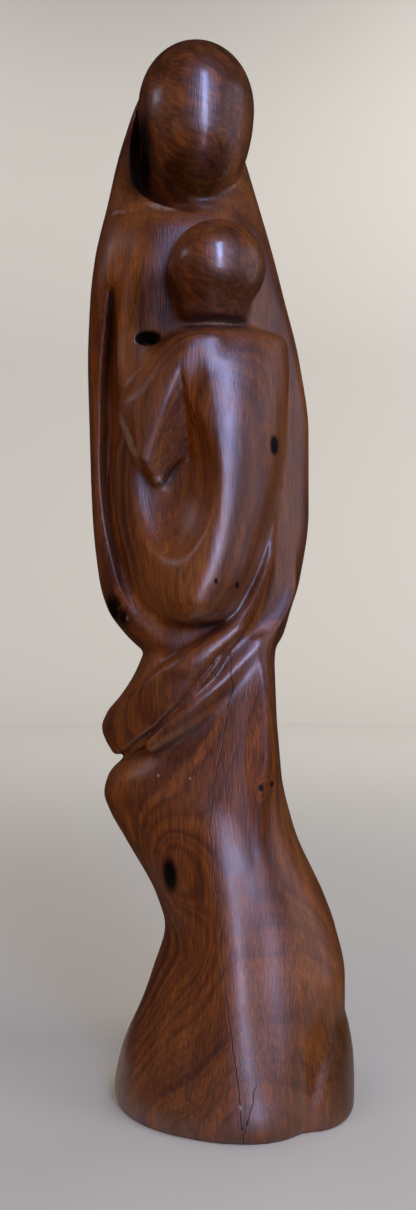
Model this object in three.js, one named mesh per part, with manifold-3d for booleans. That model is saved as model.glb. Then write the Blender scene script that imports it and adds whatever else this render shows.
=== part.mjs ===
/**
 * Carved hardwood figure of a mother in a long mantle who holds her child.
 *
 * Millimetres, +Z up, front towards -Y. The origin is on the flat underside, below the
 * middle of the figure. The whole work is one block of wood, so it is one closed solid.
 */
import * as THREE from 'three';
import { mergeVertices } from 'three/addons/utils/BufferGeometryUtils.js';
import Module from 'manifold-3d';

const wasm = await Module();
wasm.setup();

// Driving dimensions
const HEIGHT = 492;
const WIDTH = 126.5;
const DEPTH = 106;

const MOTHER_HEAD = { width: 54, depth: 58, crown: 32.5, chin: 45, taper: 0.07 };
const CHILD_HEAD = { width: 41.6, depth: 40, crown: 20.5, chin: 20.5, taper: 0 };
const LAP_SCOOP = { width: 62, depth: 58, crown: 46, chin: 45, taper: 0 };
const NECK_POCKET = { width: 11.5, depth: 20, crown: 3, chin: 3, taper: 0 };
const KNOT_HOLE = { width: 12, depth: 14, crown: 8.5, chin: 8.5, taper: 0 };

// The carving below is drawn on a figure of this size, and follows the driving dimensions
const DRAWN = { height: 492, width: 126.5, depth: 106 };
const across = WIDTH / DRAWN.width;
const deep = DEPTH / DRAWN.depth;
const up = HEIGHT / DRAWN.height;

// Fineness of the facets: ring spacing, sides of the forms, and the least step that is kept
const RING_STEP = 12;
const CAP_RINGS = 3;
const SIDES = { large: 32, middle: 24, small: 12 };
const BALL = { large: 24, small: 16 };
const SMALLEST_STEP = 0.14;

const WOOD = { color: 0x5b3324, roughness: 0.36, metalness: 0 };

/*
 * Stations of the upright forms. Each row is a level: height, left edge, right edge,
 * front, back, then the X of the front ridge and the Y of the side edges.
 */
const SKIRT = [
  [0, -49, 50, -54.5, 49, 13, -2],
  [5, -50, 50.6, -56, 50, 13, -2],
  [20, -47.3, 53.7, -52.3, 50, 13, -2],
  [45, -36.8, 58.6, -47, 48, 12, -2],
  [57, -32.6, 58.6, -45, 47, 12, -2],
  [80, -26.3, 54, -41.5, 45, 12, -2],
  [94, -30.1, 49, -40, 43, 12, -1],
  [121, -45.3, 36.5, -38.5, 41, 13, 1],
  [134, -52.8, 32.5, -38, 40, 14, 2],
  [142, -55.4, 30.5, -37.8, 40, 15, 2],
  [150, -53.5, 29, -37.6, 39, 17, 2],
  [158, -47, 28.2, -37.4, 38, 19, 2],
  [166, -39, 27.5, -37, 36, 20, 2],
  [180, -32, 26.4, -35, 34, 20, 2],
  [222, -28, 25.2, -28, 28, 14, 2],
];
const LEG = [
  [4, -14, 30, -54.6, 0, 8, -24],
  [20, -13, 28, -53.3, 0, 7, -22],
  [45, -11, 24, -49.4, 0, 5.5, -20],
  [80, -10, 20, -44.4, 0, 3.5, -18],
  [100, -12, 17, -41.6, 0, 1, -17],
  [117, -14, 13, -39.7, 0, -2, -16],
  [132, -15, 9, -37.7, 0, -4, -15],
  [150, -12, 5, -33, 0, -5, -14],
];
const TRAIN = [
  [0, 15, 62.9, -44, 46, 38, 2],
  [10, 18, 62.9, -43.5, 46, 40, 2],
  [20, 22, 62.6, -41, 45, 42, 2],
  [32, 28, 61, -35, 42, 45, 4],
  [45, 36, 57, -25, 36, 48, 8],
  [52, 42, 54, -14, 30, 48, 10],
];
const HIP = [
  [155, -45, 10, -10, 26, -16, 2],
  [161, -51.6, 10, -13, 29, -17, 2],
  [173, -56.5, 10, -19, 35, -18, 2],
  [180, -54, 10, -23, 37, -18, 2],
  [188, -47.6, 12, -28, 38, -16, 3],
  [198, -41.2, 14, -31, 37, -13, 3],
  [215, -34, 16, -28, 32, -8, 3],
];
const MANTLE = [
  [197, -24, 24, -24, 26, -4, 3],
  [208.7, -36.5, 25.7, -30, 31, -5, 4],
  [217, -45.3, 30, -31, 33, -7, 5],
  [229, -53.8, 33.7, -30, 36, -9, 5],
  [243, -58, 38, -26, 39, -10, 6],
  [276, -61.5, 42.4, -19, 42, -10, 6],
  [313, -62.8, 42.4, -16, 43, -10, 6],
  [347, -63.6, 38, -18, 43, -11, 6],
  [377, -62.4, 30.6, -24, 41, -15, 6],
  [395, -60.3, 26, -25, 38, -17, 6],
  [424, -54, 18, -18, 34, -18, 8],
  [444, -50, 12.5, -8, 31, -18, 10],
  [460, -45.5, 8, -3, 27, -18, 11],
  [477, -39, 0, 0, 21, -19, 11],
  [486, -32, -8, 3, 17, -19, 10],
];
const CHEST = [
  [286, -34, -18, -22, 10, -28, -8],
  [300, -41, 4, -27, 10, -34, -8],
  [320, -47, 10, -29.5, 10, -39, -8],
  [348, -49.8, 14, -29.5, 10, -41, -8],
  [372, -47.5, 16, -28.5, 10, -38, -8],
  [395, -42, 14, -27.5, 10, -32, -8],
  [415, -34, 10, -22, 10, -26, -8],
];
const CHILD_BODY = [
  [221.5, -20, -1, -39, 10, -13, -10],
  [225, -29, 6, -46, 10, -13, -10],
  [229, -33, 9.5, -49.3, 10, -12.3, -11],
  [234, -37, 12, -50.8, 10, -11.5, -11],
  [242, -40.5, 16, -51.3, 10, -8.5, -12],
  [250, -43, 19, -51.2, 10, -5.5, -12],
  [261, -46.5, 22, -51, 10, -3, -12],
  [275, -49, 25.5, -50.8, 10, -1, -12],
  [289, -50, 28, -50.4, 10, -0.8, -12],
  [302, -49, 29.8, -49.6, 10, -1.4, -13],
  [310, -45.8, 30.5, -48.9, 10, -2, -13],
  [323, -38, 31, -47.4, 10, -4, -15],
  [337, -30, 31.5, -45, 10, -6.5, -16],
  [349, -24, 31, -40.5, 10, -8, -16],
  [360, -22, 26, -32, 10, -8, -16],
];
const CHILD_ARM = [
  [284.5, -29.5, -26.5, -33.5, 0, -28.2, -26],
  [287, -31.5, -25, -35.2, 0, -29, -27],
  [290.5, -34, -23, -37, 0, -31, -28],
  [294.5, -37, -19.5, -38.2, 0, -34, -28],
  [298, -39.8, -15, -38.9, 0, -35.5, -28],
  [301.5, -41.8, -8, -39.6, 0, -33.5, -28],
  [308, -44.2, 0, -40.8, 0, -30.5, -28],
  [314, -46, 2, -41.8, 0, -27.5, -28],
  [321, -46.6, 5, -43, 0, -24, -27],
  [328, -43, 6, -44.2, 0, -20.8, -26],
  [337, -36.8, 8, -45.4, 0, -16, -25],
  [346, -32.3, 8, -44.5, 0, -12, -22],
  [352, -26, 6, -42, 0, -9, -20],
  [357, -18, 4, -37, 0, -8, -20],
];
const CHILD_JAW = [
  [358, -17.5, 10, -38, -10, -3, -25],
  [362, -19.8, 12.5, -42.5, -10, -3, -26],
  [370, -20.8, 14.5, -46, -10, -3, -27],
  [378, -21.3, 17, -48.5, -12, -2, -29],
  [386, -20.5, 18, -50, -14, -1, -31],
];

/*
 * Stations of the winding forms, along their crest. Each row is a place on the crest
 * X, Y, Z, then half the width, half the depth, and the way the crest faces in degrees:
 * 0 to the front, -90 to the left, 90 to the right.
 */
const CHANNEL = [
  [-50.5, -24, 375, 0.8, 6, 0],
  [-51, -27, 360, 1.8, 10, 0],
  [-52, -30, 341, 2.8, 13, 0],
  [-52.3, -29, 316, 3, 13, 0],
  [-52.3, -29, 290, 3, 13, 0],
  [-50.8, -31, 273, 3.2, 13, 0],
  [-47, -34, 255, 3.4, 12, 0],
  [-43, -38, 240, 4, 11, 0],
  [-36, -41, 228, 5, 9, 0],
  [-24.5, -44, 220, 6.5, 9, 0],
  [-10.5, -46, 217.5, 7.5, 9.5, 0],
  [3, -45, 223, 6.5, 9, 0],
  [13.5, -42, 237.5, 5, 7, 0],
  [22.5, -36, 262, 3.5, 4, 0],
  [26, -32, 282, 2.2, 2, 0],
  [28, -29, 300, 1.0, 0.8, 0],
];
const MANTLE_EDGE = [
  [24, -25, 346, 1.5, 4, 5],
  [27.5, -25.5, 336, 2, 6, 12],
  [29.5, -25, 322, 2.2, 8, 20],
  [29.5, -24, 306, 2.2, 8, 22],
  [28, -25, 288, 2.4, 8, 20],
  [25.5, -27, 266.5, 2.6, 8, 15],
  [20.5, -30, 245.5, 3, 8, 10],
  [11.5, -33, 228, 3.2, 8, 8],
  [1, -36, 217, 3.5, 8, 0],
  [-8, -38, 210, 3.5, 6, -5],
  [-15.5, -38, 205, 3, 5, -10],
  [-22, -35, 201, 1.5, 4, -15],
];
const UPPER_FOLD = [
  [8.5, -36, 221, 2, 6, 5],
  [0, -38.5, 213.5, 4.5, 9, 0],
  [-7.5, -39, 207, 8, 10, -5],
  [-16.5, -38, 200, 10.5, 10, -12],
  [-26, -35.5, 192.5, 12, 10, -22],
  [-35, -30, 184.5, 12.5, 10, -34],
  [-43.5, -22, 177.5, 12, 9, -48],
  [-49, -12, 170.5, 10, 8, -62],
];
const LOWER_FOLD = [
  [33, -8, 252, 2, 4, 60],
  [34, -14, 238, 4, 6, 45],
  [29, -20, 226.5, 5, 7, 32],
  [20.5, -27, 216, 5.5, 7.5, 18],
  [11, -32, 207, 6, 8, 8],
  [0.5, -35.5, 197, 7, 9, 0],
  [-12, -36.5, 187, 9, 10, -6],
  [-24, -34.5, 176.5, 8, 9, -18],
  [-33, -31, 168, 4, 5, -28],
];
const BACK_FOLD = [
  [-52, 16, 176, 10, 8, -105],
  [-42, 31, 183, 11, 9, -135],
  [-20, 37.5, 192, 11, 8, -165],
  [2, 34, 200, 9, 6, -185],
  [18, 26, 206, 5, 4, -210],
];
const HOOD_HOLLOW = [
  [-37, -14, 474, 2, 14, 0],
  [-39.5, -18, 460, 2.6, 15, 0],
  [-40, -22, 446, 3.2, 16, 0],
  [-38, -25, 434, 4.2, 16, 0],
  [-34, -27, 426, 4.8, 14, 0],
  [-28, -29, 420, 4.2, 10, 0],
  [-21, -30, 416, 3.2, 7, 0],
  [-12, -30, 413, 2.6, 4, 0],
  [-4, -28.5, 413, 2, 3, 0],
];
const NECK_HOLLOW = [
  [-16, -26, 380, 2, 6, 0],
  [-17.5, -29, 370, 3.5, 8, 0],
  [-19, -31, 361, 4.5, 9, 0],
  [-23, -30, 354, 4, 7, 0],
];

/*
 * The notch below the child's arm: its corners as X and Z, and a point of each of the two
 * sloping planes that it is cut down to, with the plane's slopes along X and Z.
 */
const ARM_CUT_CORNERS = [
  [-17.3, 337], [-62, 337], [-62, 282], [-28.5, 282], [-20, 285], [2, 288], [2, 337],
];
const ARM_CUT_POINTS = [[-17.8, -44.6, 334], [-14.35, -32.4, 301]];
const ARM_CUT_SLOPES = [[0.4, -0.327], [-1.9, -0.54]];
const ARM_CUT_FRONT = -75;

// Centres of the round forms; the mother's head stands as high as its crown lets it
const MOTHER_HEAD_AT = [-11.5, -10];
const CHILD_HEAD_AT = [-1, -33, 382];
const LAP_SCOOP_AT = [-33, -56, 287];
const NECK_POCKET_AT = [-33, -27, 351];
const KNOT_HOLE_AT = [-52, -16, 228];

/** A drawn point at the figure's real size. */
function place(x, y, z) {
  return new THREE.Vector3(x * across, y * deep, z * up);
}

/** The solid of a closed geometry. */
function solidOf(geometry) {
  const shell = geometry.clone();
  shell.deleteAttribute('normal');
  shell.deleteAttribute('uv');
  const merged = mergeVertices(shell, 1e-4);
  const mesh = new wasm.Mesh({
    numProp: 3,
    vertProperties: new Float32Array(merged.attributes.position.array),
    triVerts: new Uint32Array(merged.index.array),
  });
  return new wasm.Manifold(mesh);
}

/** The geometry of a solid, ready for a THREE.Mesh. */
function geometryOf(solid) {
  const mesh = solid.getMesh();
  const geometry = new THREE.BufferGeometry();
  geometry.setAttribute('position', new THREE.BufferAttribute(mesh.vertProperties, 3));
  geometry.setIndex(new THREE.BufferAttribute(mesh.triVerts, 1));
  return geometry;
}

/** One column of the stations at a height, on a curve that never overshoots its stations. */
function profileAt(stations, column, z) {
  const count = stations.length;
  const slope = (i) => (stations[i + 1][column] - stations[i][column]) / (stations[i + 1][0] - stations[i][0]);
  const tangent = (i) => {
    if (i === 0) return slope(0);
    if (i === count - 1) return slope(count - 2);
    const before = slope(i - 1);
    const after = slope(i);
    return before * after > 0 ? (2 * before * after) / (before + after) : 0;
  };
  let i = 0;
  while (i < count - 2 && z > stations[i + 1][0]) i += 1;
  const span = stations[i + 1][0] - stations[i][0];
  const t = THREE.MathUtils.clamp((z - stations[i][0]) / span, 0, 1);
  const [from, to] = [stations[i][column], stations[i + 1][column]];
  return from * (1 + 2 * t) * (1 - t) ** 2 + tangent(i) * span * t * (1 - t) ** 2
    + to * t * t * (3 - 2 * t) + tangent(i + 1) * span * t * t * (t - 1);
}

/** Heights of a loft's rings, each with the share of its full section, which shrinks in a rounded cap. */
function ringLevels(stations, bottomCap, topCap) {
  const bottom = stations[0][0];
  const top = stations[stations.length - 1][0];
  const levels = [];
  for (let i = 1; i <= CAP_RINGS && bottomCap > 0; i += 1) {
    const angle = (i / (CAP_RINGS + 1)) * Math.PI / 2;
    levels.push({ z: bottom + bottomCap * (1 - Math.cos(angle)), share: Math.sin(angle) });
  }
  const [low, high] = [bottom + bottomCap, top - topCap];
  const stops = [low, ...stations.map((row) => row[0]).filter((z) => z > low && z < high), high];
  for (let i = 0; i < stops.length - 1; i += 1) {
    const steps = Math.ceil((stops[i + 1] - stops[i]) / RING_STEP);
    for (let k = 0; k < steps; k += 1) {
      levels.push({ z: stops[i] + ((stops[i + 1] - stops[i]) * k) / steps, share: 1 });
    }
  }
  levels.push({ z: high, share: 1 });
  for (let i = 1; i <= CAP_RINGS && topCap > 0; i += 1) {
    const angle = (i / (CAP_RINGS + 1)) * Math.PI / 2;
    levels.push({ z: high + topCap * Math.sin(angle), share: Math.cos(angle) });
  }
  return levels;
}

/** A power of a cosine or sine that keeps its sign, for a rounded square section. */
function rounded(value, squareness) {
  return Math.sign(value) * Math.abs(value) ** (2 / squareness);
}

/** The closed geometry of rings of points, each turning the same way, with a point at both ends. */
function skin(rings, first, last) {
  const sides = rings[0].length;
  const points = [...rings.flat(), first, last];
  const [firstPoint, lastPoint] = [points.length - 2, points.length - 1];
  const triangles = [];
  for (let k = 0; k < sides; k += 1) {
    const next = (k + 1) % sides;
    for (let i = 0; i < rings.length - 1; i += 1) {
      const [here, above] = [i * sides, (i + 1) * sides];
      triangles.push(here + k, here + next, above + next, here + k, above + next, above + k);
    }
    const topRing = (rings.length - 1) * sides;
    triangles.push(firstPoint, next, k, lastPoint, topRing + k, topRing + next);
  }
  const geometry = new THREE.BufferGeometry().setFromPoints(points);
  geometry.setIndex(triangles);
  return geometry;
}

/** An upright form through its stations, flat at an end without a cap and rounded where it has one. */
function loft(stations, {
  bottomCap = 0, topCap = 0, squareness = 2.2, leftSquareness = squareness, sides = SIDES.middle,
} = {}) {
  const rings = ringLevels(stations, bottomCap, topCap).map(({ z, share }) => {
    const [left, right, front, back, ridgeX, sideY] = [1, 2, 3, 4, 5, 6].map((column) => (
      profileAt(stations, column, z)));
    return Array.from({ length: sides }, (_, k) => {
      const angle = (k / sides) * Math.PI * 2;
      const power = Math.cos(angle) < 0 ? leftSquareness : squareness;
      const x = rounded(Math.cos(angle), power);
      const y = rounded(Math.sin(angle), power);
      return place(
        ridgeX + share * x * (x > 0 ? right - ridgeX : ridgeX - left),
        sideY + share * y * (y > 0 ? back - sideY : sideY - front),
        z,
      );
    });
  });
  const end = (row) => place(row[5], row[6], row[0]);
  return solidOf(skin(rings, end(stations[0]), end(stations[stations.length - 1])));
}

/** A winding form whose crest runs through its stations, with tapering ends. */
function sweep(stations, { squareness = 2, sides = SIDES.small, turns = 2 } = {}) {
  const facing = (degrees) => {
    const angle = THREE.MathUtils.degToRad(degrees);
    return new THREE.Vector3(Math.sin(angle), -Math.cos(angle), 0);
  };
  const centres = stations.map(([x, y, z, , halfDepth, degrees]) => (
    place(x, y, z).addScaledVector(facing(degrees), -halfDepth * deep)));
  const route = new THREE.CatmullRomCurve3(centres);
  const measures = new THREE.CatmullRomCurve3(
    stations.map(([, , , halfWidth, halfDepth, degrees]) => new THREE.Vector3(halfWidth, halfDepth, degrees)),
  );
  const steps = (stations.length - 1) * turns;
  const rings = Array.from({ length: steps + 1 }, (_, i) => {
    const t = i / steps;
    const centre = route.getPoint(t);
    const along = route.getTangent(t);
    const measure = measures.getPoint(t);
    const outward = facing(measure.z);
    outward.addScaledVector(along, -outward.dot(along)).normalize();
    const aside = new THREE.Vector3().crossVectors(along, outward);
    return Array.from({ length: sides }, (__, k) => {
      const angle = (k / sides) * Math.PI * 2;
      return centre.clone()
        .addScaledVector(outward, measure.y * deep * rounded(Math.cos(angle), squareness))
        .addScaledVector(aside, measure.x * across * rounded(Math.sin(angle), squareness));
    });
  });
  const tip = (t, reach) => route.getPoint(t).addScaledVector(route.getTangent(t), reach);
  const reach = (station) => Math.min(station[3] * across, station[4] * deep);
  const first = tip(0, -reach(stations[0]));
  const last = tip(1, reach(stations[stations.length - 1]));
  return solidOf(skin(rings, first, last));
}

/** An egg that stands upright, with its own length above and below the centre. */
function egg({ width, depth, crown, chin, taper }, centre, sides) {
  const geometry = new THREE.SphereGeometry(1, sides, Math.round(sides * 0.6)).rotateX(Math.PI / 2);
  const position = geometry.attributes.position;
  for (let i = 0; i < position.count; i += 1) {
    const [x, y, z] = [position.getX(i), position.getY(i), position.getZ(i)];
    const swell = 1 + taper * z;
    position.setXYZ(i, x * swell * width / 2, y * swell * depth / 2, z * (z > 0 ? crown : chin));
  }
  geometry.translate(centre.x, centre.y, centre.z);
  return solidOf(geometry);
}

/** The block in front of one sloping plane, inside the corners of the notch below the arm. */
function notchBefore([pointX, pointY, pointZ], [slopeX, slopeZ]) {
  const outline = new THREE.Shape(ARM_CUT_CORNERS.map(([x, z]) => new THREE.Vector2(x, z)));
  const geometry = new THREE.ExtrudeGeometry(outline, { depth: 1, bevelEnabled: false });
  const position = geometry.attributes.position;
  for (let i = 0; i < position.count; i += 1) {
    const [x, z, isFront] = [position.getX(i), position.getY(i), position.getZ(i) > 0.5];
    const y = isFront ? ARM_CUT_FRONT : pointY + slopeX * (x - pointX) + slopeZ * (z - pointZ);
    const corner = place(x, y, z);
    position.setXYZ(i, corner.x, corner.y, corner.z);
  }
  return solidOf(geometry);
}

/** The wedge that is cut away below the arm, down to the deeper of its two planes. */
function armCut() {
  const [face, wall] = ARM_CUT_POINTS.map((point, i) => notchBefore(point, ARM_CUT_SLOPES[i]));
  return face.intersect(wall);
}

/** Skirt, train, waist folds, mantle and hood, with the hollows round the child and the head. */
function drapery() {
  return loft(SKIRT, { topCap: 8, squareness: 2.1, sides: SIDES.large })
    .add(loft(LEG, { topCap: 20 }))
    .add(loft(TRAIN, { topCap: 16 }))
    .add(loft(MANTLE, { bottomCap: 10, topCap: 7, squareness: 2.3, sides: SIDES.large }))
    .add(sweep(LOWER_FOLD, { squareness: 1.6 }))
    .subtract(sweep(CHANNEL, { squareness: 2.2 }))
    .add(loft(CHEST, { bottomCap: 4, topCap: 14, squareness: 2, leftSquareness: 2.8 }))
    .add(sweep(BACK_FOLD, { squareness: 2.6 }))
    .add(loft(HIP, { bottomCap: 6, topCap: 6 }))
    .add(sweep(UPPER_FOLD, { squareness: 2.8 }))
    .add(sweep(MANTLE_EDGE, { squareness: 1.6 }))
    .subtract(sweep(HOOD_HOLLOW));
}

/** The hollows that are cut once the child is in place: beside the neck, and the knot hole. */
function hollows() {
  return sweep(NECK_HOLLOW)
    .add(egg(NECK_POCKET, place(...NECK_POCKET_AT), BALL.small))
    .add(egg(KNOT_HOLE, place(...KNOT_HOLE_AT), BALL.small));
}

/** The child's body with a scooped lap, and the arm with the notch cut below it. */
function childBody() {
  return loft(CHILD_BODY, { bottomCap: 3, topCap: 8, squareness: 2.05, leftSquareness: 1.45 })
    .subtract(egg(LAP_SCOOP, place(...LAP_SCOOP_AT), BALL.large))
    .add(loft(CHILD_ARM, { bottomCap: 1, topCap: 8, squareness: 3, leftSquareness: 1.8 }))
    .subtract(armCut());
}

/** The child's jaw with the round head on it. */
function childHead() {
  return loft(CHILD_JAW, { bottomCap: 2, topCap: 8 })
    .add(egg(CHILD_HEAD, place(...CHILD_HEAD_AT), BALL.large));
}

/** Everything below the floor, taken away so that the underside is flat. */
function ground() {
  const size = 4 * Math.max(WIDTH, DEPTH);
  return solidOf(new THREE.BoxGeometry(size, size, size).translate(0, 0, -size / 2));
}

/** The whole figure, with the origin below the middle of its box. */
function maternityFigure() {
  const headCentre = place(...MOTHER_HEAD_AT, 0).setZ(HEIGHT - MOTHER_HEAD.crown);
  const solid = drapery()
    .add(childBody())
    .subtract(hollows())
    .add(childHead())
    .add(egg(MOTHER_HEAD, headCentre, BALL.large))
    .subtract(ground())
    .simplify(SMALLEST_STEP);
  const geometry = geometryOf(solid);
  geometry.computeBoundingBox();
  const middle = geometry.boundingBox.getCenter(new THREE.Vector3());
  geometry.translate(-middle.x, -middle.y, 0);
  geometry.computeVertexNormals();
  const figure = new THREE.Mesh(geometry, new THREE.MeshStandardMaterial(WOOD));
  figure.name = 'maternity_figure';
  return figure;
}

const model = new THREE.Group();
model.add(maternityFigure());

export default model;
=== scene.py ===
"""Dressed model of the carved hardwood mother and child.

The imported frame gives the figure's box. The carving is worked out as blended forms in drawn
millimetres, made one closed mesh in metres, and finished as oiled and polished hardwood.
Drawn places have +Z up, +X to the viewer's right and the front towards -Y.
"""
import logging
import math
from dataclasses import dataclass, field
from enum import Enum

import bmesh
import bpy
import numpy as np
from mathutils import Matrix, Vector


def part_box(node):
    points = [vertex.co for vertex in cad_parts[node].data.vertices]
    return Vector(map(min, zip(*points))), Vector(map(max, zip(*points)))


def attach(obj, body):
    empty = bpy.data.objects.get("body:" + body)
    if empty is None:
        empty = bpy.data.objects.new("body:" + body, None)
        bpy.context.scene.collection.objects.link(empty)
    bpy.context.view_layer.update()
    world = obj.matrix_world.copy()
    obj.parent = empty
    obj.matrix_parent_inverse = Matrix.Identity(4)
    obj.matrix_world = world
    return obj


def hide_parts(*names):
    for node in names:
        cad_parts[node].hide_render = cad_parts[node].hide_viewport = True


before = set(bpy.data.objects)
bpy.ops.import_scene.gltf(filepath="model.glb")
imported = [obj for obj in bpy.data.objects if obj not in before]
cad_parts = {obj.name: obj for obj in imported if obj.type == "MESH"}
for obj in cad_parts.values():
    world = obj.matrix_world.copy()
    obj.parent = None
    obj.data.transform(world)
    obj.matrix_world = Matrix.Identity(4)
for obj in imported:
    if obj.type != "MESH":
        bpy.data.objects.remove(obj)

LOG = logging.getLogger("maternity_figure")
MM = 0.001
TINY = 1e-9
NODE = "maternity_figure"
PIECE = "carved_figure"
SMOOTH = {"interpolation_type": "SMOOTHSTEP"}

Rows = tuple[tuple[float, ...], ...]
Pair = tuple[float, float]
Line = tuple[Pair, ...]
Point = tuple[float, float, float]
Fade = tuple[float, float, float, float]
Corners = tuple[np.ndarray, np.ndarray]
Grid = list[np.ndarray]
Socket = bpy.types.NodeSocket


class Light(Enum):
    """What a soft light does: it lights the wood, shows as a reflection on it, or both."""

    BOTH = "both"
    LIGHTS = "lights"
    REFLECTS = "reflects"


class Join(Enum):
    """How a form meets the wood that is already there."""

    ADD = "add"
    CUT = "cut"


@dataclass(frozen=True)
class Drawing:
    """The box that the carving is drawn in, and where that box lies in the frame."""

    low: Point = (-63.6, -56.0, 0.0)
    high: Point = (62.9, 50.0, 492.0)

    def to_frame(self, points: np.ndarray) -> np.ndarray:
        """Places of drawn points in the frame.

        Args:
            points: drawn points in millimetres, one a row.

        Returns:
            The same points in metres, inside the CAD node's box.
        """
        box_low, box_high = (np.array(corner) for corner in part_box(NODE))
        low, high = np.array(self.low), np.array(self.high)
        return box_low + (np.asarray(points) - low) / (high - low) * (box_high - box_low)


def flow(values: np.ndarray, slopes: np.ndarray, places: np.ndarray, at: np.ndarray) -> np.ndarray:
    """A smooth curve through stations, with a given slope at each.

    Args:
        values: one row of values for each station.
        slopes: how fast they change there.
        places: the stations' own rising places.
        at: places to read the curve at.

    Returns:
        One row of values for each place.
    """
    i = np.clip(np.searchsorted(places, at, side="right") - 1, 0, len(places) - 2)
    span = (places[i + 1] - places[i])[:, None]
    t = (at[:, None] - places[i][:, None]) / span
    return (
        values[i] * (1 + 2 * t) * (1 - t) ** 2
        + slopes[i] * span * t * (1 - t) ** 2
        + values[i + 1] * t * t * (3 - 2 * t)
        + slopes[i + 1] * span * t * t * (t - 1)
    )


def monotone(rows: np.ndarray, at: np.ndarray) -> np.ndarray:
    """Smooth curves through stations that never overshoot them.

    Args:
        rows: one row for each station, its rising place first.
        at: places to read the curves at.

    Returns:
        One row of values for each place.
    """
    places, values = rows[:, 0], rows[:, 1:]
    steps = np.diff(values, axis=0) / np.diff(places)[:, None]
    before, after = steps[:-1], steps[1:]
    rising = before * after > 0
    inner = np.where(rising, 2 * before * after / np.where(rising, before + after, 1), 0)
    slopes = np.concatenate([steps[:1], inner, steps[-1:]])
    return flow(values, slopes, places, np.clip(at, places[0], places[-1]))


def catmull(rows: np.ndarray, shares: np.ndarray) -> np.ndarray:
    """A flowing curve through rows of values, evenly timed by the distance between them.

    Args:
        rows: one row of values for each station, its place first.
        shares: places on the curve, from 0 to 1.

    Returns:
        One row of values for each share.
    """
    steps = np.linalg.norm(np.diff(rows[:, :3], axis=0), axis=1)
    times = np.concatenate([[0], np.cumsum(steps)]) / steps.sum()
    return flow(rows, np.gradient(rows, times, axis=0), times, shares)


def facing(degrees: np.ndarray) -> np.ndarray:
    """Level directions for angles in degrees: 0 to the front, -90 to the left."""
    angle = np.radians(degrees)
    return np.stack([np.sin(angle), -np.cos(angle), 0 * angle], axis=-1)


class Form:
    """A closed form, known by how far a point lies outside it in millimetres."""

    least_slope = 1e-3

    def box(self) -> Corners:
        """Lowest and highest corner of the form."""
        raise NotImplementedError

    def ratio(self, grid: Grid) -> np.ndarray:
        """How many times its own size the form would have to grow to reach each point."""
        raise NotImplementedError

    def distance(self, grid: Grid, step: float) -> np.ndarray:
        """Distance of a grid's points from the form, below zero inside it.

        Args:
            grid: the points' X, Y and Z.
            step: the grid's spacing.

        Returns:
            The distances on the same grid.
        """
        ratio = self.ratio(grid)
        slope = np.sqrt(sum(change * change for change in np.gradient(ratio, step)))
        return (ratio - 1) / np.maximum(slope, self.least_slope)


@dataclass(frozen=True)
class Loft(Form):
    """An upright form through level sections with rounded square corners.

    Each row is a height, then the left and right edge, the front and back, the X of the
    front ridge and the Y of the side edges. A cap is the length of a rounded end.
    """

    rows: Rows
    bottom_cap: float = 0.0
    top_cap: float = 0.0
    squareness: float = 2.2
    left_squareness: float | None = None
    flat_end_run: float = 30.0

    def box(self) -> Corners:
        """Lowest and highest corner of the form."""
        bottom, left, front = np.array(self.rows)[:, [0, 1, 3]].min(axis=0)
        top, right, back = np.array(self.rows)[:, [0, 2, 4]].max(axis=0)
        return np.array([left, front, bottom]), np.array([right, back, top])

    def ratio(self, grid: Grid) -> np.ndarray:
        """How many times its own size the form would have to grow to reach each point.

        Args:
            grid: the points' X, Y and Z.

        Returns:
            The ratios on the same grid.
        """
        x, y, z = grid
        rows = np.array(self.rows)
        level = z[0, 0]
        left, right, front, back, ridge, side = monotone(rows, level).T
        across, along = x - ridge, y - side
        width = np.where(across > 0, right - ridge, ridge - left)
        depth = np.where(along > 0, back - side, side - front)
        power = np.where(across > 0, self.squareness, self.left_squareness or self.squareness)
        section = (np.abs(across / width) ** power + np.abs(along / depth) ** power) ** (1 / power)
        bottom, top = rows[0, 0], rows[-1, 0]
        rise = np.zeros_like(level)
        if self.top_cap:
            rise = np.maximum(rise, (level - top + self.top_cap) / self.top_cap)
        if self.bottom_cap:
            rise = np.maximum(rise, (bottom + self.bottom_cap - level) / self.bottom_cap)
        ratio = np.sqrt(section**2 + rise**2)
        if not self.top_cap:
            ratio = np.maximum(ratio, 1 + (level - top) / self.flat_end_run)
        if not self.bottom_cap:
            ratio = np.maximum(ratio, 1 + (bottom - level) / self.flat_end_run)
        return ratio


@dataclass(frozen=True)
class Egg(Form):
    """An upright egg with its own length above and below the centre."""

    centre: Point
    width: float
    depth: float
    crown: float
    chin: float
    taper: float = 0.0

    def box(self) -> Corners:
        """Lowest and highest corner of the form."""
        reach = max(self.width / 2, self.depth / 2, self.crown, self.chin)
        return np.array(self.centre) - reach, np.array(self.centre) + reach

    def ratio(self, grid: Grid) -> np.ndarray:
        """How many times its own size the form would have to grow to reach each point.

        Args:
            grid: the points' X, Y and Z.

        Returns:
            The ratios on the same grid.
        """
        x, y, z = grid
        height = z - self.centre[2]
        height = np.where(height > 0, height / self.crown, height / self.chin)
        swell = 1 + self.taper * height
        across = (x - self.centre[0]) / (self.width / 2 * swell)
        along = (y - self.centre[1]) / (self.depth / 2 * swell)
        return np.sqrt(across**2 + along**2 + height**2)


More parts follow.
